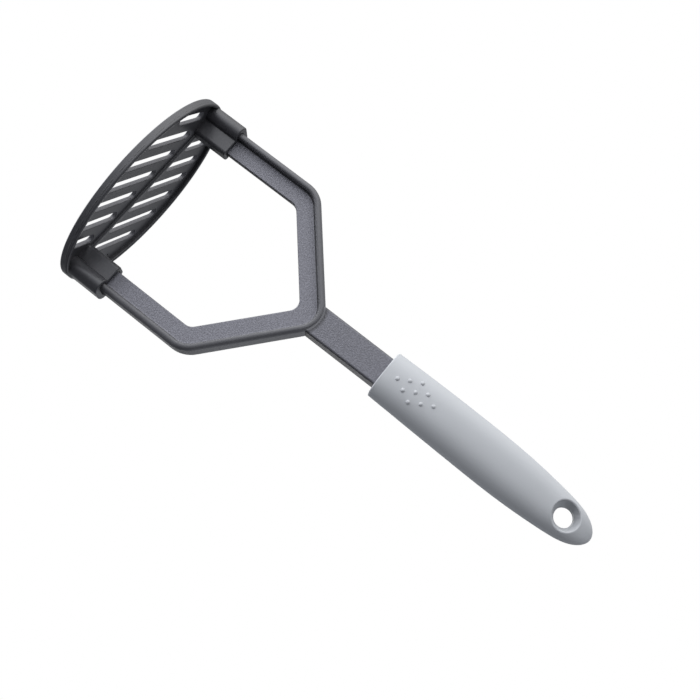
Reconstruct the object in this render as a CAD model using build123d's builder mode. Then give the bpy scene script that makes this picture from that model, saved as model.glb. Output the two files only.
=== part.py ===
from build123d import *
from math import atan2, copysign, cos, pi, radians, sin, sqrt, tan
import os

# Potato masher: a slotted oval head, a five-sided yoke with a flat shaft, and a
# soft-touch grip moulded over a hard core.
#
# Millimetres. The origin is the middle of the plate's underside. +Z runs up along
# the handle, X runs along the plate from arm to arm, and -Y is the front, where
# the grip carries its bumps. The handle arches towards +Y, the back.

os.makedirs("parts", exist_ok=True)

# Oval plate with its rim and centre rib
plate_half_length = 54.0
plate_half_width = 34.5
plate_thickness = 2.4
rim_height = 4.5
rim_wall = 2.0
rim_edge_radius = 0.8
underside_edge_radius = 0.5
rib_width = 2.5
rib_height = 1.25
rib_edge_radius = 0.9

# Slots through the plate, in two rows that lean the same way
slot_width = 4.65
slot_pitch = 13.5
slot_lean_degrees = -45
front_slot_shift = 1.75
back_slot_shift = 0.9
slot_to_rim = 2.4
slot_to_rib = 1.2
slot_to_socket = 0.4
slot_edge_radius = 0.35
shortest_slot_run = 3.0

# Mark that the mould's pin leaves on the plate's top
pin_mark_x = 31.6
pin_mark_y = 21.0
pin_mark_radius = 0.55
pin_mark_depth = 0.5

# Sockets on the plate, each around one foot of the yoke
socket_mouth_height = 21.0
socket_clearance = 0.15
socket_outer_wall = 2.95
socket_inner_wall = 1.85
socket_front_wall = 2.1
socket_web_wall = 2.2
socket_valley_radius = 1.3
socket_corner_radius = 1.8
socket_mouth_radius = 0.6
socket_lead_in = 0.4

# Yoke: a web with a flange along its outer edge
yoke_half_span = 50.0
yoke_width = 11.8
shoulder_height = 68.45
crown_height = 111.9
shoulder_radius = 14.0
crown_radius = 13.0
opening_corner_radius = 5.2
flange_thickness = 3.3
flange_depth = 10.4
flange_outer_edge_radius = 1.9
flange_inner_edge_radius = 1.2
web_thickness = 2.9
web_root_radius = 1.2
web_edge_radius = 0.5

# Shaft above the crown, and the tang that the handle hides
shaft_width = 14.9
shaft_thickness = 9.3
shaft_edge_radius = 1.1
shaft_in_handle = 12.0
tang_base_width = 10.6
tang_tip_width = 8.4
tang_thickness = 6.0
tang_length = 42.0
tang_corner_radius = 1.5
key_hole_radius = 1.7
key_hole_pitch = 13.0
key_hole_count = 3
key_hole_first = 10.0

# Handle: grip skin over its core
handle_mouth_height = 144.8
handle_length = 117.0
handle_width = 24.9
handle_depth = 20.5
handle_arch = 9.8
mouth_edge_radius = 0.6
skin_thickness = 2.2
mouth_wall = 3.0
shaft_clearance = 0.2
tang_clearance = 0.1
hanging_hole_radius = 4.7
hanging_hole_below_tip = 15.4
hanging_hole_waist_length = 3.3
hanging_hole_flare_degrees = 25
hanging_hole_lean_degrees = 9
hanging_hole_lip_radius = 0.7
hanging_hole_liner = 1.5

# Shares of the handle's length and of its largest width and depth
widest_share = 0.505
deepest_share = 0.30
mouth_width_share = 0.945
mouth_depth_share = 0.90
width_taper_share = 1.65
depth_taper_share = 0.60
nose_start_share = 0.84
core_top_share = 0.94
width_nose_power = 3.3
depth_nose_power = 1.5
arch_power = 1.5
section_power = 2.4
section_points = 16
grip_stations_share = (0, 0.1, 0.2, 0.3, 0.4, 0.5, 0.6, 0.7, 0.78, 0.84, 0.88, 0.915)
grip_stations_share += (0.945, 0.968, 0.985, 0.995)

# Grip bumps, in a diamond on the front
bump_counts = (1, 2, 3, 2, 1)
bump_radius = 1.0
bump_height = 0.6
bump_row_pitch = 5.0
bump_column_pitch = 5.3
bump_first_row = 6.9

# Every cut runs past the face that it opens by this much
overrun = 1.0

# Corners and edges are told apart by their places to within this much
match_tolerance = 0.01

# Places that follow from the sizes above
slope = atan2(crown_height - shoulder_height, yoke_half_span)
shaft_top = handle_mouth_height + shaft_in_handle
hanging_hole_height = handle_mouth_height + handle_length - hanging_hole_below_tip
lobe_outer = yoke_half_span + socket_clearance + socket_outer_wall
lobe_inner = yoke_half_span - flange_thickness - socket_clearance - socket_inner_wall
lobe_half_depth = flange_depth / 2 + socket_clearance + socket_front_wall
web_lobe_inner = yoke_half_span - yoke_width - socket_clearance - socket_inner_wall
web_lobe_half_depth = web_thickness / 2 + socket_clearance + socket_web_wall
bump_sphere_radius = (bump_radius**2 + bump_height**2) / (2 * bump_height)


def matches(value, distance):
    """Whether a coordinate lies at this distance on either side of the middle."""
    return abs(abs(value) - distance) < match_tolerance


def slot_run(intercept):
    """How far in front of the rib the end centres of one front slot lie.

    The slot's centre line crosses the rib's line at X = intercept and runs
    forwards and towards +X at 45 degrees, so a point a step t in front of the rib
    has X = intercept + t. Returns the first and the last step, or None where the
    plate has no room for the slot.
    """
    end_radius = slot_width / 2
    half_length = plate_half_length - rim_wall - slot_to_rim - end_radius
    half_width = plate_half_width - rim_wall - slot_to_rim - end_radius
    a = 1 / half_length**2 + 1 / half_width**2
    b = intercept / half_length**2
    c = (intercept / half_length) ** 2 - 1
    room = b * b - a * c
    if room <= 0:
        return None
    first = max(rib_width / 2 + slot_to_rib + end_radius, (-b - sqrt(room)) / a)
    last = (-b + sqrt(room)) / a
    margin = slot_to_socket + end_radius
    for inner, outer, half_depth in (
        (web_lobe_inner, lobe_inner, web_lobe_half_depth),
        (lobe_inner, lobe_outer, lobe_half_depth),
    ):
        beside = inner - margin < abs(intercept + first) < outer + margin
        if beside and first < half_depth + margin:
            first = half_depth + margin
    if last - first < shortest_slot_run:
        return None
    return first, last


def draw_slots():
    """Cut both rows of slots in the open sketch.

    The back row is the front one turned half round, each with its own small shift.
    """
    reach = int(plate_half_length / slot_pitch)
    for side, shift in ((1, front_slot_shift), (-1, -back_slot_shift)):
        for number in range(-reach, reach + 1):
            intercept = number * slot_pitch + shift
            run = slot_run(intercept)
            if run is None:
                continue
            middle = sum(run) / 2
            length = (run[1] - run[0]) * sqrt(2)
            with Locations((side * (intercept + middle), -side * middle)):
                SlotCenterToCenter(length, slot_width, slot_lean_degrees, mode=Mode.SUBTRACT)


def draw_sockets():
    """Draw both sockets: a long lobe round each flange and a short one round each web."""
    lobe_middle = (lobe_outer + lobe_inner) / 2
    web_middle = (lobe_middle + web_lobe_inner) / 2
    with BuildSketch() as sockets:
        for side in (1, -1):
            with Locations((side * lobe_middle, 0)):
                SlotOverall(2 * lobe_half_depth, lobe_outer - lobe_inner, rotation=90)
            with Locations((side * web_middle, 0)):
                Rectangle(lobe_middle - web_lobe_inner, 2 * web_lobe_half_depth)
        fillet(corners_at(sockets, lobe_inner), socket_valley_radius)
        fillet(corners_at(sockets, web_lobe_inner), socket_corner_radius)
    return sockets.sketch


def draw_cavities(height, growth):
    """Draw the T-shaped space for both feet at a height, grown all round."""
    margin = socket_clearance + growth
    flange_outer = yoke_half_span + margin
    flange_inner = yoke_half_span - flange_thickness - margin
    web_inner = yoke_half_span - yoke_width - margin
    web_end = (flange_outer + flange_inner) / 2
    half_web = web_thickness / 2 + margin
    half_flange = flange_depth / 2 + margin
    with BuildSketch(Plane.XY.offset(height)) as cavities:
        for side in (1, -1):
            with Locations((side * web_end, 0)):
                Rectangle(flange_outer - flange_inner, 2 * half_flange)
            with Locations((side * (web_end + web_inner) / 2, 0)):
                Rectangle(web_end - web_inner, 2 * half_web)
        roots = [c for c in corners_at(cavities, flange_inner) if matches(c.Y, half_web)]
        fillet(roots, web_root_radius - growth)
        tips = [c for c in corners_at(cavities, flange_inner) if matches(c.Y, half_flange)]
        fillet(tips, flange_inner_edge_radius + margin)
        fillet(corners_at(cavities, flange_outer), flange_outer_edge_radius + margin)
    return cavities.sketch


def corners_at(sketch, distance):
    """The corners of a sketch that lie at X = distance on either side."""
    return [corner for corner in sketch.vertices() if matches(corner.X, distance)]


def arm_edges(part, inset, reach):
    """The arms' upright edges, by inset from the outer face and reach from the middle."""
    return [
        edge
        for edge in part.edges().filter_by(Axis.Z)
        if matches(edge.center().X, yoke_half_span - inset) and matches(edge.center().Y, reach)
    ]


def draw_yoke_outline(inset, shoulder_fillet, crown_fillet, bottom, plane=Plane.XZ):
    """Draw the yoke's outer edge drawn in by inset, closed by a line at bottom."""
    half_span = yoke_half_span - inset
    crown = crown_height - inset / cos(slope)
    shoulder = crown - half_span * tan(slope)
    with BuildSketch(plane) as outline:
        with BuildLine():
            Polyline(
                (-half_span, bottom),
                (-half_span, shoulder),
                (0, crown),
                (half_span, shoulder),
                (half_span, bottom),
                close=True,
            )
        make_face()
        fillet(outline.vertices().group_by(Axis.Y)[-1], crown_fillet)
        fillet(outline.vertices().group_by(Axis.Y)[1], shoulder_fillet)
    return outline.sketch


def draw_tang(clearance):
    """Draw the tang from the front, with its key holes, grown by a clearance."""
    half_base = tang_base_width / 2 + clearance
    half_tip = tang_tip_width / 2 + clearance
    tip = shaft_top + tang_length + clearance
    with BuildSketch(Plane.XZ) as outline:
        with BuildLine():
            Polyline(
                (-half_base, shaft_top - overrun),
                (-half_tip, tip),
                (half_tip, tip),
                (half_base, shaft_top - overrun),
                close=True,
            )
        make_face()
        fillet(outline.vertices().group_by(Axis.Y)[-1], tang_corner_radius)
        for number in range(key_hole_count):
            with Locations((0, shaft_top + key_hole_first + number * key_hole_pitch)):
                Circle(key_hole_radius - clearance, mode=Mode.SUBTRACT)
    return outline.sketch


def nose(share, power):
    """How much of its width or depth the handle keeps where its top rounds off."""
    if share <= nose_start_share:
        return 1
    along = (share - nose_start_share) / (1 - nose_start_share)
    return sqrt(1 - along**power)


def half_width_at(share):
    """Half the handle's width at a share of its length."""
    if share < widest_share:
        flare = 1 - share / widest_share
        full = 1 - (1 - mouth_width_share) * flare**2
    else:
        full = 1 - width_taper_share * (share - widest_share) ** 2
    return handle_width / 2 * full * nose(share, width_nose_power)


def half_depth_at(share):
    """Half the handle's depth at a share of its length."""
    if share < deepest_share:
        flare = 1 - share / deepest_share
        full = 1 - (1 - mouth_depth_share) * flare**2
    else:
        full = 1 - depth_taper_share * (share - deepest_share) ** 2
    return handle_depth / 2 * full * nose(share, depth_nose_power)


def arch_at(share):
    """How far back the handle's centre line lies at a share of its length."""
    return handle_arch * share**arch_power


def height_at(share):
    """The height of a share of the handle's length."""
    return handle_mouth_height + handle_length * share


def rounded_power(value, power):
    """A power that keeps the sign of its value."""
    return copysign(abs(value) ** power, value)


def handle_section(share, inset):
    """One level section of the handle, drawn in by inset: a full, rounded oval."""
    half_width = half_width_at(share) - inset
    half_depth = half_depth_at(share) - inset
    turns = [2 * pi * number / section_points for number in range(section_points)]
    points = [
        (
            half_width * rounded_power(cos(turn), 2 / section_power),
            arch_at(share) + half_depth * rounded_power(sin(turn), 2 / section_power),
        )
        for turn in turns
    ]
    with BuildSketch(Plane.XY.offset(height_at(share))) as section:
        with BuildLine():
            Spline(*points, periodic=True)
        make_face()
    return section.sketch.face()


def draw_shaft(height, clearance):
    """Draw the shaft's section at a height, grown by a clearance."""
    with BuildSketch(Plane.XY.offset(height)) as section:
        RectangleRounded(
            shaft_width + 2 * clearance,
            shaft_thickness + 2 * clearance,
            shaft_edge_radius + clearance,
        )
    return section.sketch


def draw_hanging_hole(side, reach, growth):
    """Draw the hanging hole's section at a reach beyond one end of its waist, grown all round.

    The waist is straight. Beyond it the hole flares and leans towards the handle's tip.
    """
    middle = arch_at((hanging_hole_height - handle_mouth_height) / handle_length)
    level = middle + side * (hanging_hole_waist_length / 2 + reach)
    rise = reach * tan(radians(hanging_hole_lean_degrees))
    flare = reach * tan(radians(hanging_hole_flare_degrees))
    with BuildSketch(Plane.XZ.offset(-level)) as section:
        with Locations((0, hanging_hole_height + rise)):
            Circle(hanging_hole_radius + growth + flare)
    return section.sketch.face()


def hanging_hole_space(growth):
    """The space of the hanging hole, grown all round: its waist and the flare on both sides."""
    with BuildPart() as space:
        for side in (1, -1):
            loft([draw_hanging_hole(side, reach, growth) for reach in (0, handle_depth)], ruled=True)
        extrude(draw_hanging_hole(1, 0, growth), amount=hanging_hole_waist_length)
    return space.part


def bump_centres():
    """The centres of the bump spheres, sunk so that each stands out by the bump height."""
    sink = bump_sphere_radius - bump_height
    centres = []
    for row, count in enumerate(bump_counts):
        height = bump_first_row + row * bump_row_pitch
        share = height / handle_length
        for number in range(count):
            x = (number - (count - 1) / 2) * bump_column_pitch
            across = abs(x / half_width_at(share)) ** section_power
            front = half_depth_at(share) * (1 - across) ** (1 / section_power)
            centres.append((x, arch_at(share) - front + sink, handle_mouth_height + height))
    return centres


# Head: plate, slots, rim, rib and sockets in one moulding
with BuildPart() as masher_head:
    with BuildSketch():
        Ellipse(plate_half_length, plate_half_width)
        draw_slots()
    extrude(amount=plate_thickness)
    flat_edges = masher_head.faces().filter_by(Axis.Z).edges()
    fillet(flat_edges.filter_by(GeomType.ELLIPSE, reverse=True), slot_edge_radius)

    with BuildSketch():
        Ellipse(plate_half_length, plate_half_width)
        Ellipse(plate_half_length - rim_wall, plate_half_width - rim_wall, mode=Mode.SUBTRACT)
    extrude(amount=rim_height)
    fillet(masher_head.faces().sort_by(Axis.Z)[-1].edges(), rim_edge_radius)
    fillet(masher_head.faces().sort_by(Axis.Z)[0].outer_wire().edges(), underside_edge_radius)

    with BuildSketch(Plane.XY.offset(plate_thickness)):
        Rectangle(2 * (web_lobe_inner + socket_inner_wall / 2), rib_width)
    extrude(amount=rib_height)
    rib_level = plate_thickness + rib_height
    rib_top = masher_head.faces().filter_by_position(Axis.Z, rib_level, rib_level)
    fillet(rib_top.edges().filter_by(Axis.X), rib_edge_radius)

    with Locations((pin_mark_x, pin_mark_y, plate_thickness)):
        Hole(pin_mark_radius, depth=pin_mark_depth)

    extrude(draw_sockets(), amount=socket_mouth_height)
    mouths = masher_head.faces().filter_by(Axis.Z).group_by(Axis.Z)[-1]
    fillet(mouths.edges(), socket_mouth_radius)
    cavities = draw_cavities(plate_thickness, 0)
    extrude(cavities, amount=socket_mouth_height - plate_thickness, mode=Mode.SUBTRACT)
    lead_in_start = draw_cavities(socket_mouth_height - socket_lead_in, 0)
    lead_in_end = draw_cavities(socket_mouth_height, socket_lead_in)
    for side in (0, 1):
        ends = [sketch.faces().sort_by(Axis.X)[side] for sketch in (lead_in_start, lead_in_end)]
        loft(ends, ruled=True, mode=Mode.SUBTRACT)

# Yoke: arms, crown, shaft and tang in one moulding
with BuildPart() as yoke:
    outer_face = draw_yoke_outline(0, shoulder_radius, crown_radius, plate_thickness)
    extrude(outer_face, amount=flange_depth / 2, both=True)
    fillet(arm_edges(yoke, 0, flange_depth / 2), flange_outer_edge_radius)

    extrude(draw_shaft(crown_height - yoke_width, 0), amount=shaft_top - crown_height + yoke_width)
    extrude(draw_tang(0), amount=tang_thickness / 2, both=True)

    for side in (1, -1):
        pocket = draw_yoke_outline(
            flange_thickness,
            shoulder_radius - flange_thickness,
            crown_radius - flange_thickness,
            plate_thickness - overrun,
            Plane.XZ.offset(side * web_thickness / 2),
        )
        extrude(pocket, amount=side * flange_depth, mode=Mode.SUBTRACT)
    opening = draw_yoke_outline(
        yoke_width, opening_corner_radius, opening_corner_radius, plate_thickness - overrun
    )
    extrude(opening, amount=flange_depth, both=True, mode=Mode.SUBTRACT)

    fillet(arm_edges(yoke, flange_thickness, web_thickness / 2), web_root_radius)
    fillet(arm_edges(yoke, flange_thickness, flange_depth / 2), flange_inner_edge_radius)
    fillet(arm_edges(yoke, yoke_width, web_thickness / 2), web_edge_radius)

# The solid that the core is cut from: the handle drawn in by the skin, with its eye
core_bottom_share = mouth_wall / handle_length
core_stations_share = [core_bottom_share]
core_stations_share += [s for s in grip_stations_share if core_bottom_share < s < core_top_share]
core_stations_share += [core_top_share]
core_sections = [handle_section(share, skin_thickness) for share in core_stations_share]
core_eye = hanging_hole_space(hanging_hole_liner)
with BuildPart() as core_blank:
    loft(core_sections)
    add(core_eye, mode=Mode.SUBTRACT)

# Core: the hard inner body, moulded round the tang and keyed through its holes
with BuildPart() as handle_core:
    add(core_blank.part)
    shaft_space = draw_shaft(handle_mouth_height, tang_clearance)
    extrude(shaft_space, amount=shaft_in_handle + tang_clearance, mode=Mode.SUBTRACT)
    tang_reach = tang_thickness / 2 + tang_clearance
    extrude(draw_tang(tang_clearance), amount=tang_reach, both=True, mode=Mode.SUBTRACT)

# Grip: the soft skin over the core, with its mouth, hanging hole and bumps
grip_sections = [handle_section(share, 0) for share in grip_stations_share]
grip_tip = Vertex(0, arch_at(1), height_at(1))
hanging_hole = hanging_hole_space(0)
with BuildPart() as grip:
    loft(grip_sections + [grip_tip])
    fillet(grip.faces().sort_by(Axis.Z)[0].edges(), mouth_edge_radius)
    add(hanging_hole, mode=Mode.SUBTRACT)
    lips = grip.edges(Select.LAST).filter_by(GeomType.CIRCLE, reverse=True)
    fillet(lips.filter_by(GeomType.LINE, reverse=True), hanging_hole_lip_radius)
    add(core_blank.part, mode=Mode.SUBTRACT)
    mouth = draw_shaft(handle_mouth_height - overrun, shaft_clearance)
    extrude(mouth, amount=mouth_wall + 2 * overrun, mode=Mode.SUBTRACT)
    with Locations(*bump_centres()):
        Sphere(bump_sphere_radius)

for name, piece in (
    ("masher_head", masher_head),
    ("yoke", yoke),
    ("handle_core", handle_core),
    ("grip", grip),
):
    piece.part.label = name
    export_step(piece.part, f"parts/{name}.step")
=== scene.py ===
"""Potato masher, dressed for its portrait: moulded nylon head and yoke, soft-touch grip.

Metres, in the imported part's own frame. The origin is the middle of the oval plate's
underside, +Z runs up the handle, X runs along the plate from arm to arm, and -Y is
the front, which carries the grip bumps.
"""

import logging
import math
from dataclasses import dataclass
from enum import Enum
from typing import Optional, Union

import bpy
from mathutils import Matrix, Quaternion, Vector

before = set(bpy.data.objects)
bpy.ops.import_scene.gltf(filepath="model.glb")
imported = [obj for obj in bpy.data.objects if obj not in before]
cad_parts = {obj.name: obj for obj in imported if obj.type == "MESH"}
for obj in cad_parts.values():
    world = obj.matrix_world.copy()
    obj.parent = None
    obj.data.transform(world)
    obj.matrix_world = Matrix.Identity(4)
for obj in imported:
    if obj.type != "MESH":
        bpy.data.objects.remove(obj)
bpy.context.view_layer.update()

log = logging.getLogger("potato_masher")

Colour = tuple[float, float, float]
Point = tuple[float, float, float]
Band = tuple[float, float]
Value = Union[float, "Signal"]

MILLIMETRE = 0.001
WHITE: Colour = (1.0, 1.0, 1.0)
COOL: Colour = (0.96, 0.99, 1.07)
NYLON_IOR = 1.5
RUBBER_IOR = 1.45


class Piece(Enum):
    """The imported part's nodes."""

    HEAD = "masher_head"
    YOKE = "yoke"
    CORE = "handle_core"
    GRIP = "grip"


@dataclass(frozen=True)
class Signal:
    """One output socket of a shader tree, which takes part in Python arithmetic."""

    tree: "ShaderTree"
    socket: bpy.types.NodeSocket

    def __add__(self, other: Value) -> "Signal":
        """Add a value."""
        return self.tree.maths("ADD", self, other)

    def __radd__(self, other: Value) -> "Signal":
        """Add to a value."""
        return self.tree.maths("ADD", other, self)

    def __sub__(self, other: Value) -> "Signal":
        """Take a value away."""
        return self.tree.maths("SUBTRACT", self, other)

    def __rsub__(self, other: Value) -> "Signal":
        """Take this away from a value."""
        return self.tree.maths("SUBTRACT", other, self)

    def __mul__(self, other: Value) -> "Signal":
        """Multiply by a value."""
        return self.tree.maths("MULTIPLY", self, other)

    def __rmul__(self, other: Value) -> "Signal":
        """Multiply a value."""
        return self.tree.maths("MULTIPLY", other, self)

    def __truediv__(self, other: Value) -> "Signal":
        """Divide by a value."""
        return self.tree.maths("DIVIDE", self, other)

    def __rtruediv__(self, other: Value) -> "Signal":
        """Divide a value by this."""
        return self.tree.maths("DIVIDE", other, self)

    def __pow__(self, other: Value) -> "Signal":
        """Raise to a power."""
        return self.tree.maths("POWER", self, other)

    def __rpow__(self, other: Value) -> "Signal":
        """Raise a value to this power."""
        return self.tree.maths("POWER", other, self)

    def __abs__(self) -> "Signal":
        """Drop the sign."""
        return self.tree.maths("ABSOLUTE", self)


@dataclass(frozen=True)
class Place:
    """Where the surface lies in the part's frame, in metres."""

    vector: Signal
    x: Signal
    y: Signal
    z: Signal


class ShaderTree:
    """Builds the nodes of one material or of the world."""

    def __init__(self, owner: Union[bpy.types.Material, bpy.types.World]) -> None:
        """Start from an empty tree.

        Args:
            owner: The material or world whose nodes are built.
        """
        owner.use_nodes = True
        self.owner = owner
        self.tree = owner.node_tree
        self.tree.nodes.clear()

    def node(
        self, kind: str, settings: Optional[dict] = None, sockets: Optional[dict] = None
    ) -> bpy.types.Node:
        """Add one node.

        Args:
            kind: The node's type.
            settings: Its own settings, set first.
            sockets: Values or signals by input name or number.

        Returns:
            The new node.
        """
        made = self.tree.nodes.new(kind)
        for name, value in (settings or {}).items():
            setattr(made, name, value)
        for key, value in (sockets or {}).items():
            if isinstance(value, Signal):
                self.tree.links.new(value.socket, made.inputs[key])
            else:
                made.inputs[key].default_value = value
        return made

    def out(self, made: bpy.types.Node, name: Union[str, int] = 0) -> Signal:
        """Wrap one output of a node."""
        return Signal(self, made.outputs[name])

    def maths(self, operation: str, *values: Value) -> Signal:
        """Work out one sum on plain values.

        Args:
            operation: The Math node's operation.
            values: Its inputs in order.

        Returns:
            The result.
        """
        sockets = dict(enumerate(values))
        return self.out(self.node("ShaderNodeMath", {"operation": operation}, sockets))

    def distance(self, across: Signal, along: Signal) -> Signal:
        """How far a point lies from the middle, from its two coordinates."""
        return (across * across + along * along) ** 0.5

    def vector(
        self, operation: str, first: Union[Colour, Signal], second: Union[Colour, Value]
    ) -> Signal:
        """Work out one sum on vectors or colours.

        Args:
            operation: The Vector Math node's operation.
            first: Its first input.
            second: Its second input, or how much SCALE multiplies by.

        Returns:
            The resulting vector.
        """
        sockets = {0: first, "Scale" if operation == "SCALE" else 1: second}
        return self.out(self.node("ShaderNodeVectorMath", {"operation": operation}, sockets))

    def step(self, value: Value, start: float, end: float) -> Signal:
        """Rise smoothly from 0 at start to 1 at end.

        Args:
            value: The signal that runs.
            start: Where the result is 0.
            end: Where the result is 1.

        Returns:
            The smooth step.
        """
        settings = {"interpolation_type": "SMOOTHSTEP"}
        sockets = {"Value": value, "From Min": start, "From Max": end}
        return self.out(self.node("ShaderNodeMapRange", settings, sockets))

    def mix(
        self, factor: Value, low: Union[Colour, Signal], high: Union[Colour, Signal]
    ) -> Signal:
        """Mix two colours.

        Args:
            factor: The second colour's share.
            low: The first colour.
            high: The second colour.

        Returns:
            The mixed colour.
        """
        made = self.node("ShaderNodeMix", {"data_type": "RGBA"}, {0: factor})
        for number, colour in ((6, low), (7, high)):
            if isinstance(colour, Signal):
                self.tree.links.new(colour.socket, made.inputs[number])
            else:
                made.inputs[number].default_value = (*colour, 1.0)
        return self.out(made, 2)

    def noise(
        self, vector: Signal, feature: float, detail: float = 2.0, rough: float = 0.5
    ) -> Signal:
        """Make noise with features of a real size.

        Args:
            vector: Where the surface lies, in metres.
            feature: The features' size in metres.
            detail: How many finer layers it carries.
            rough: How strong the finer layers are.

        Returns:
            The noise, from 0 to 1 around one half.
        """
        sockets = {"Vector": vector, "Scale": 1 / feature, "Detail": detail, "Roughness": rough}
        return self.out(self.node("ShaderNodeTexNoise", {}, sockets), "Fac")

    def _parts(self, output: str) -> tuple[Signal, Signal, Signal, Signal]:
        """Read one output of the texture coordinates: all of it, then its X, Y and Z."""
        vector = self.out(self.node("ShaderNodeTexCoord"), output)
        parts = self.node("ShaderNodeSeparateXYZ", {}, {0: vector})
        return (vector, *(self.out(parts, number) for number in range(3)))

    def place(self) -> Place:
        """Read where the surface lies."""
        return Place(*self._parts("Object"))

    def facing(self) -> tuple[Signal, Signal, Signal]:
        """Read how far the surface faces along X, Y and Z, each from -1 to 1."""
        return self._parts("Normal")[1:]

    def bump(self, height: Signal, depth: float) -> Signal:
        """Turn a height of 0 to 1 into a surface normal.

        Args:
            height: The height.
            depth: The real depth in metres of a height of 1.

        Returns:
            The bumped normal.
        """
        return self.out(self.node("ShaderNodeBump", {}, {"Height": height, "Distance": depth}))

    def surface(self, **sockets: Union[float, Colour, Signal]) -> None:
        """Finish a material with one plastic surface.

        Args:
            sockets: The shader's inputs by name, with an underscore for a space.
        """
        named = {
            name.replace("_", " "): (*value, 1.0) if isinstance(value, tuple) else value
            for name, value in sockets.items()
        }
        shader = self.node("ShaderNodeBsdfPrincipled", {}, named)
        self.node("ShaderNodeOutputMaterial", {}, {"Surface": self.out(shader)})


def scaled(colour: Colour, gain: float) -> Colour:
    """Make a colour brighter or darker."""
    return tuple(part * gain for part in colour)


@dataclass(frozen=True)
class PlateMarksAndLight:
    """What the mould left on the plate, a broken dark line on its rim, and painted light that
    makes the slot walls paler.

    The rim's wall and the slots are found by how far out they lie, from 0 in the middle
    of the plate to 1 on the rim's outer wall.
    """

    half_length: float
    half_width: float
    line_height: float
    slot_top: float
    rim_wall: Band = (0.988, 0.994)
    slots_end: Band = (0.90, 0.93)
    slot_margin: float = 0.15 * MILLIMETRE
    # Painted light: the slot walls are made this much paler, standing in for the light that
    # comes through the slots.
    slot_wall_painted_light: float = 1.9
    line_thickness: float = 0.34 * MILLIMETRE
    line_core_share: float = 0.3
    line_darkening: float = 0.75
    line_relief: float = 0.9
    wander_length: float = 6 * MILLIMETRE
    wander_share: float = 2.0
    break_length: float = 2.2 * MILLIMETRE
    break_band: Band = (0.44, 0.60)

    def _outward(self, tree: ShaderTree, place: Place) -> Signal:
        """Find how far out the surface lies."""
        return tree.distance(place.x / self.half_length, place.y / self.half_width)

    def parting_line(self, tree: ShaderTree, place: Place) -> Signal:
        """Find the line where the mould's halves met, on the rim's outer wall.

        Args:
            tree: The material's tree.
            place: Where the surface lies.

        Returns:
            The line, 1 where it is strongest.
        """
        on_wall = tree.step(self._outward(tree, place), *self.rim_wall)
        noise = tree.noise(place.vector, self.wander_length) - 0.5
        wander = noise * (self.wander_share * self.line_thickness)
        away = abs(place.z - self.line_height + wander)
        core = self.line_core_share * self.line_thickness
        line = 1 - tree.step(away, core, self.line_thickness)
        breaks = tree.noise(place.vector, self.break_length, detail=3.0)
        return line * on_wall * tree.step(breaks, *self.break_band)

    def slot_walls(self, tree: ShaderTree, place: Place) -> Signal:
        """Find the slots' walls, inside the plate's thickness, where painted light makes them
        paler.

        Args:
            tree: The material's tree.
            place: Where the surface lies.

        Returns:
            1 on the walls of the slots.
        """
        inside = 1 - tree.step(self._outward(tree, place), *self.slots_end)
        off_floor = tree.step(place.z, 0.0, self.slot_margin)
        under_top = 1 - tree.step(place.z, self.slot_top - self.slot_margin, self.slot_top)
        return inside * off_floor * under_top


@dataclass(frozen=True)
class SatinNylon:
    """Dark nylon from a polished mould: satin, with faint clouds, streaks and orange peel."""

    name: str
    colour: Colour
    roughness: float = 0.33
    cloud_roughness: float = 0.12
    peel_roughness: float = 0.08
    cloud: float = 9 * MILLIMETRE
    streak: float = 1.1 * MILLIMETRE
    streak_stretch: Point = (0.3, 0.3, 1.6)
    peel: float = 0.5 * MILLIMETRE
    peel_relief: float = 0.1
    relief_depth: float = 0.06 * MILLIMETRE
    shade_change: float = 0.16
    streak_change: float = 0.60
    marks_and_light: Optional[PlateMarksAndLight] = None

    def material(self) -> bpy.types.Material:
        """Build the material."""
        made = bpy.data.materials.new(self.name)
        tree = ShaderTree(made)
        place = tree.place()
        clouds = tree.noise(place.vector, self.cloud, detail=3.0)
        peel = tree.noise(place.vector, self.peel, detail=3.0, rough=0.6)
        stretched = tree.vector("MULTIPLY", place.vector, self.streak_stretch)
        streaks = tree.noise(stretched, self.streak, detail=3.0)
        darker = scaled(self.colour, 1 - self.shade_change)
        lighter = scaled(self.colour, 1 + self.shade_change)
        shade = 1 + (streaks - 0.5) * self.streak_change
        relief = peel * self.peel_relief
        if self.marks_and_light:
            line = self.marks_and_light.parting_line(tree, place)
            painted_wall_light = self.marks_and_light.slot_walls(tree, place)
            shade = shade * (1 - line * self.marks_and_light.line_darkening)
            # Painted light on the slot walls, standing in for the light through the slots.
            shade = shade * (1 + painted_wall_light * (self.marks_and_light.slot_wall_painted_light - 1))
            relief = relief + line * self.marks_and_light.line_relief
        clouded = (clouds - 0.5) * self.cloud_roughness
        tree.surface(
            Base_Color=tree.vector("SCALE", tree.mix(clouds, darker, lighter), shade),
            Roughness=self.roughness + clouded + (peel - 0.5) * self.peel_roughness,
            Normal=tree.bump(relief, self.relief_depth),
            IOR=NYLON_IOR,
        )
        return made


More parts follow.
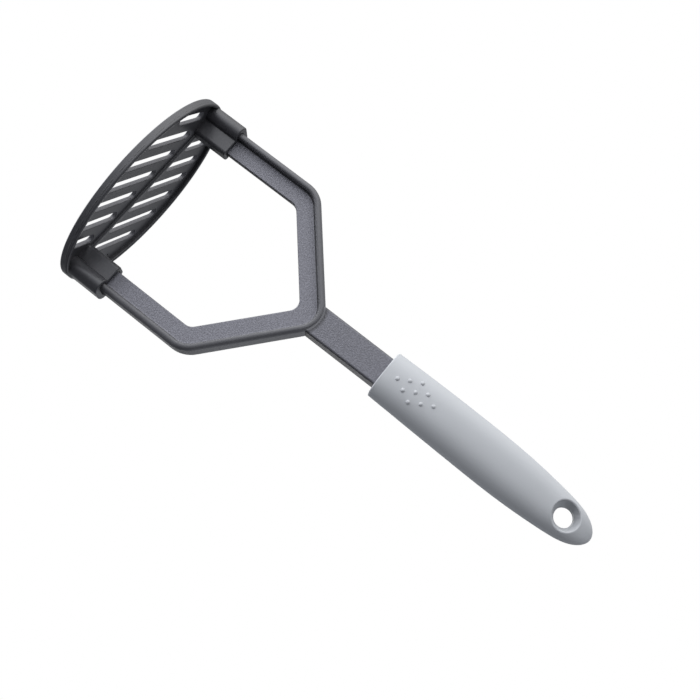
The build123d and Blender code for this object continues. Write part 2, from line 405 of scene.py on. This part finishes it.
@dataclass(frozen=True)
class ErodedNylon:
    """Nylon from a spark-eroded mould: fine matt grain on its faces, smooth on its beads.

    Each painted shade is how bright one place stays, where 1 would leave it as it is; together
    they darken the shaft, the flange's root, the web's inner edges, the shaft under the crown
    and the arms above the sockets.
    """

    name: str
    colour: Colour
    smooth_colour: Colour
    web_half_thickness: float
    crown_middle: float
    crown_radius: float
    shaft_half_width: float
    foot_top: float
    grain: float = 0.75 * MILLIMETRE
    grain_depth: float = 0.07 * MILLIMETRE
    grain_band: Band = (0.36, 0.64)
    smooth_relief: float = 0.08
    cloud: float = 7 * MILLIMETRE
    roughness: float = 0.50
    smooth_roughness: float = 0.40
    cloud_roughness: float = 0.1
    shade_change: float = 0.34
    cloud_share: float = 0.5
    web_rise: Band = (0.15 * MILLIMETRE, 0.35 * MILLIMETRE)
    root_rise: Band = (0.7 * MILLIMETRE, 1.9 * MILLIMETRE)
    flat_facing: Band = (0.60, 0.92)
    outward_facing: Band = (0.0, 4 * MILLIMETRE)
    shaft_start: Band = (9 * MILLIMETRE, 10 * MILLIMETRE)
    shaft_side: float = 1.2 * MILLIMETRE
    crown_edge: Band = (0.0, 0.4 * MILLIMETRE)
    crown_shadow_reach: Band = (0.4 * MILLIMETRE, 2.4 * MILLIMETRE)
    socket_shadow_reach: float = 11 * MILLIMETRE
    # Painted shade: the shaft is darkened to this share, standing in for the dimmer light that
    # falls on it.
    shaft_painted_shade: float = 0.78
    # Painted shadow in the flange's concave root, kept to this share.
    root_painted_shade: float = 0.35
    # Painted shadow on the arms just above the sockets, kept to this share.
    socket_painted_shadow: float = 0.72
    # Painted shadow on the shaft just under the crown's bead, kept to this share.
    crown_painted_shadow: float = 0.30
    # Painted shade on the web's inner edges, kept to this share.
    edge_painted_shade: float = 0.45

    def _zones(self, tree: ShaderTree, place: Place) -> tuple[Signal, Signal]:
        """Tell the grained faces from the smooth beads, and find where painted shade darkens
        the shaft, the corners, the inner edges and the arms near the sockets.

        Args:
            tree: The material's tree.
            place: Where the surface lies.

        Returns:
            How grained the surface is, and how bright the painted shade leaves it.
        """
        along, across, up = tree.facing()
        flat = tree.step(abs(across), *self.flat_facing)
        outward = along * place.x + up * (place.z - self.crown_middle / 2)
        inner = 1 - tree.step(outward, *self.outward_facing)
        rise = abs(place.y) - self.web_half_thickness
        low = 1 - tree.step(rise, *self.web_rise)
        from_middle = place.z - self.crown_middle
        from_crown = tree.distance(place.x, from_middle) - self.crown_radius
        on_shaft = tree.step(from_middle, *self.shaft_start)
        on_shaft = on_shaft * tree.step(from_crown, *self.crown_edge)
        side = self.shaft_half_width - self.shaft_side
        shaft_face = on_shaft * (1 - tree.step(abs(place.x), side, self.shaft_half_width))
        off_shaft = 1 - on_shaft
        grained = tree.maths("MAXIMUM", low * flat * off_shaft, shaft_face)
        # Painted shadow in the concave root between the web and the flange's bead.
        root_shadow = inner * (1 - low) * (1 - tree.step(rise, *self.root_rise)) * off_shaft
        # Painted shade on the inner edges of the web, which face away from the light.
        inner_edge_shade = inner * low * (1 - flat) * off_shaft
        # Painted shadow on the shaft just under the crown's bead.
        crown_shadow = on_shaft * (1 - tree.step(from_crown, *self.crown_shadow_reach))
        # Painted shadow on the arms, fading upward from the sockets' mouths.
        socket_shadow = 1 - tree.step(place.z, self.foot_top, self.foot_top + self.socket_shadow_reach)
        # Painted shade: each zone is darkened to its share.
        shade = 1.0
        for zone, left in (
            (on_shaft, self.shaft_painted_shade),
            (root_shadow, self.root_painted_shade),
            (inner_edge_shade, self.edge_painted_shade),
            (crown_shadow, self.crown_painted_shadow),
            (socket_shadow, self.socket_painted_shadow),
        ):
            shade = shade * (1 - zone * (1 - left))
        return grained, shade

    def material(self) -> bpy.types.Material:
        """Build the material."""
        made = bpy.data.materials.new(self.name)
        tree = ShaderTree(made)
        place = tree.place()
        # The shade is the painted shade of the shaft, the corners, the inner edges and the arms
        # near the sockets.
        grained, shade = self._zones(tree, place)
        clouds = tree.noise(place.vector, self.cloud) - 0.5
        grain = tree.noise(place.vector, self.grain, detail=2.5, rough=0.6)
        sparks = tree.step(grain, *self.grain_band)
        change = clouds * self.cloud_share + (sparks - 0.5) * grained
        colour = tree.mix(grained, self.smooth_colour, self.colour)
        rougher = grained * (self.roughness - self.smooth_roughness)
        relief = sparks * (self.smooth_relief + grained * (1 - self.smooth_relief))
        tree.surface(
            Base_Color=tree.vector("SCALE", colour, (1 + change * self.shade_change) * shade),
            Roughness=self.smooth_roughness + rougher + clouds * self.cloud_roughness,
            Normal=tree.bump(relief, self.grain_depth),
            IOR=NYLON_IOR,
        )
        return made


@dataclass(frozen=True)
class SoftTouch:
    """Grey soft-touch rubber: a velvety skin with a very fine grain."""

    name: str
    colour: Colour
    roughness: float = 0.52
    cloud_roughness: float = 0.1
    grain_roughness: float = 0.06
    cloud: float = 14 * MILLIMETRE
    cloud_share: float = 0.6
    grain: float = 0.22 * MILLIMETRE
    grain_depth: float = 0.012 * MILLIMETRE
    shade_change: float = 0.035

    def material(self) -> bpy.types.Material:
        """Build the material."""
        made = bpy.data.materials.new(self.name)
        tree = ShaderTree(made)
        place = tree.place()
        clouds = tree.noise(place.vector, self.cloud)
        grain = tree.noise(place.vector, self.grain, rough=0.6)
        blend = clouds * self.cloud_share + grain * (1 - self.cloud_share)
        darker = scaled(self.colour, 1 - self.shade_change)
        lighter = scaled(self.colour, 1 + self.shade_change)
        clouded = (clouds - 0.5) * self.cloud_roughness
        tree.surface(
            Base_Color=tree.mix(blend, darker, lighter),
            Roughness=self.roughness + clouded + (grain - 0.5) * self.grain_roughness,
            Normal=tree.bump(grain, self.grain_depth),
            IOR=RUBBER_IOR,
        )
        return made


def dress(piece: Piece, material: bpy.types.Material) -> None:
    """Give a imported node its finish.

    Args:
        piece: The node.
        material: The finish for all of it.
    """
    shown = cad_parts[piece.value]
    shown.data.materials.clear()
    shown.data.materials.append(material)
    log.info("%s: %d faces, %s", piece.value, len(shown.data.polygons), material.name)


@dataclass
class Head:
    """The slotted oval plate with its rim, rib and sockets."""

    half_length: float = 54.0 * MILLIMETRE
    half_width: float = 34.5 * MILLIMETRE
    parting_height: float = 2.9 * MILLIMETRE
    plate_thickness: float = 2.4 * MILLIMETRE
    colour: Colour = (0.040, 0.040, 0.044)

    def build(self) -> None:
        """Dress the head in satin nylon."""
        marks_and_light = PlateMarksAndLight(
            self.half_length, self.half_width, self.parting_height, self.plate_thickness
        )
        dress(Piece.HEAD, SatinNylon("satin_nylon", self.colour, marks_and_light=marks_and_light).material())


@dataclass
class Yoke:
    """The flanged arms, crown and flat shaft."""

    colour: Colour = (0.164, 0.164, 0.189)
    smooth_colour: Colour = (0.086, 0.086, 0.093)
    web_half_thickness: float = 1.45 * MILLIMETRE
    crown_height: float = 111.9 * MILLIMETRE
    shoulder_height: float = 68.45 * MILLIMETRE
    half_span: float = 50.0 * MILLIMETRE
    crown_radius: float = 13.0 * MILLIMETRE
    shaft_half_width: float = 7.45 * MILLIMETRE
    socket_mouth: float = 21.0 * MILLIMETRE

    def build(self) -> None:
        """Dress the yoke in spark-eroded nylon."""
        slope = math.atan2(self.crown_height - self.shoulder_height, self.half_span)
        finish = ErodedNylon(
            "eroded_nylon",
            self.colour,
            self.smooth_colour,
            self.web_half_thickness,
            self.crown_height - self.crown_radius / math.cos(slope),
            self.crown_radius,
            self.shaft_half_width,
            self.socket_mouth,
        )
        dress(Piece.YOKE, finish.material())


@dataclass
class Handle:
    """The hard core and its soft-touch grip."""

    grip_colour: Colour = (0.405, 0.417, 0.430)
    core_colour: Colour = (0.10, 0.10, 0.10)

    def build(self) -> None:
        """Dress the core and the grip."""
        dress(Piece.CORE, SatinNylon("core_plastic", self.core_colour).material())
        dress(Piece.GRIP, SoftTouch("soft_touch", self.grip_colour).material())


@dataclass(frozen=True)
class Softbox:
    """One soft light of the surround: its direction, its middle's brightness and its tint.

    A higher focus makes it narrower.
    """

    toward: Point
    gain: float
    tint: Colour = WHITE
    focus: float = 5.0


@dataclass
class Studio:
    """White floor and surround, with soft light that comes mostly from -X, -Y and below."""

    softboxes: tuple[Softbox, ...] = (
        Softbox((-0.85, -0.51, -0.08), 1.80),
        Softbox((-0.40, -0.88, -0.20), 1.65, COOL),
        Softbox((-0.45, -0.30, -0.84), 2.20),
        Softbox((-0.80, 0.54, 0.25), 0.50),
        Softbox((-1.00, 0.03, 0.08), 0.50),
        Softbox((-0.03, 0.18, -0.98), 4.10, COOL),
        Softbox((0.39, 0.09, -0.92), 0.35, COOL),
        Softbox((0.44, 0.50, 0.75), 0.75, COOL),
        Softbox((0.12, 0.80, 0.58), 0.30, COOL),
        Softbox((0.10, -0.20, 0.97), 0.45, COOL),
        Softbox((-0.10, 0.99, -0.14), 4.00, focus=40.0),
    )
    dim_level: float = 0.01
    floor_half_side: float = 6.0
    floor_drop: float = 0.1 * MILLIMETRE

    def build(self) -> None:
        """Make the floor and the surround."""
        self._surround()
        self._floor()
        bpy.context.scene.view_settings.view_transform = "Standard"
        bpy.context.scene.view_settings.look = "None"

    def _surround(self) -> None:
        """Light the part softly, in front of a white surround."""
        world = bpy.data.worlds.new("surround")
        bpy.context.scene.world = world
        tree = ShaderTree(world)
        toward = tree.out(tree.node("ShaderNodeTexCoord"), "Generated")
        level = scaled(WHITE, self.dim_level)
        for softbox in self.softboxes:
            level = tree.vector("ADD", level, self._lobe(tree, toward, softbox))
        seen = tree.out(tree.node("ShaderNodeLightPath"), "Is Camera Ray")
        light = tree.node("ShaderNodeBackground", {}, {"Color": tree.mix(seen, level, WHITE)})
        tree.node("ShaderNodeOutputWorld", {}, {"Surface": tree.out(light)})

    def _lobe(self, tree: ShaderTree, toward: Signal, softbox: Softbox) -> Signal:
        """Make one softbox's light.

        Args:
            tree: The world's tree.
            toward: The direction that light comes from.
            softbox: The softbox.

        Returns:
            Its light, full in its middle and none beyond a quarter turn.
        """
        middle = Vector(softbox.toward).normalized()
        settings = {"operation": "DOT_PRODUCT"}
        dot = tree.node("ShaderNodeVectorMath", settings, {0: toward, 1: middle})
        near = tree.maths("MAXIMUM", tree.out(dot, "Value"), 0.0) ** softbox.focus
        return tree.vector("SCALE", softbox.tint, near * softbox.gain)

    def _floor(self) -> None:
        """Lay the white floor that the masher stands on."""
        side = self.floor_half_side
        corners = [(-side, -side, 0), (side, -side, 0), (side, side, 0), (-side, side, 0)]
        mesh = bpy.data.meshes.new("floor")
        mesh.from_pydata(corners, [], [(0, 1, 2, 3)])
        floor = bpy.data.objects.new("floor", mesh)
        bpy.context.scene.collection.objects.link(floor)
        floor.location.z = -self.floor_drop
        material = bpy.data.materials.new("floor_white")
        tree = ShaderTree(material)
        glow = tree.out(tree.node("ShaderNodeEmission", {}, {"Strength": 1.0}))
        tree.node("ShaderNodeOutputMaterial", {}, {"Surface": glow})
        mesh.materials.append(material)
        floor.visible_diffuse = False
        floor.visible_glossy = False
        floor.visible_shadow = False


@dataclass
class PhotoCamera:
    """The camera at the photograph's viewing angle."""

    location: Point = (0.1068, -0.4471, 0.1894)
    forward: Point = (-0.22889, 0.96381, -0.13668)
    roll_degrees: float = 127.67
    lens: float = 52.72
    sensor: float = 36.0
    nearest: float = 0.01

    def build(self) -> None:
        """Make the camera and set it as the scene's own."""
        data = bpy.data.cameras.new("photo_camera")
        data.lens = self.lens
        data.sensor_width = self.sensor
        data.clip_start = self.nearest
        camera = bpy.data.objects.new("photo_camera", data)
        bpy.context.scene.collection.objects.link(camera)
        upright = Vector(self.forward).to_track_quat("-Z", "Y")
        roll = Quaternion((0, 0, 1), math.radians(self.roll_degrees))
        camera.rotation_mode = "QUATERNION"
        camera.rotation_quaternion = upright @ roll
        camera.location = self.location
        bpy.context.scene.camera = camera


def main() -> None:
    """Build the masher's sub-assemblies, then the studio and the camera."""
    logging.basicConfig(level=logging.INFO, format="%(message)s")
    for assembly in (Head(), Yoke(), Handle(), Studio(), PhotoCamera()):
        assembly.build()
        log.info("%s built", type(assembly).__name__)


if __name__ == "__main__":
    main()
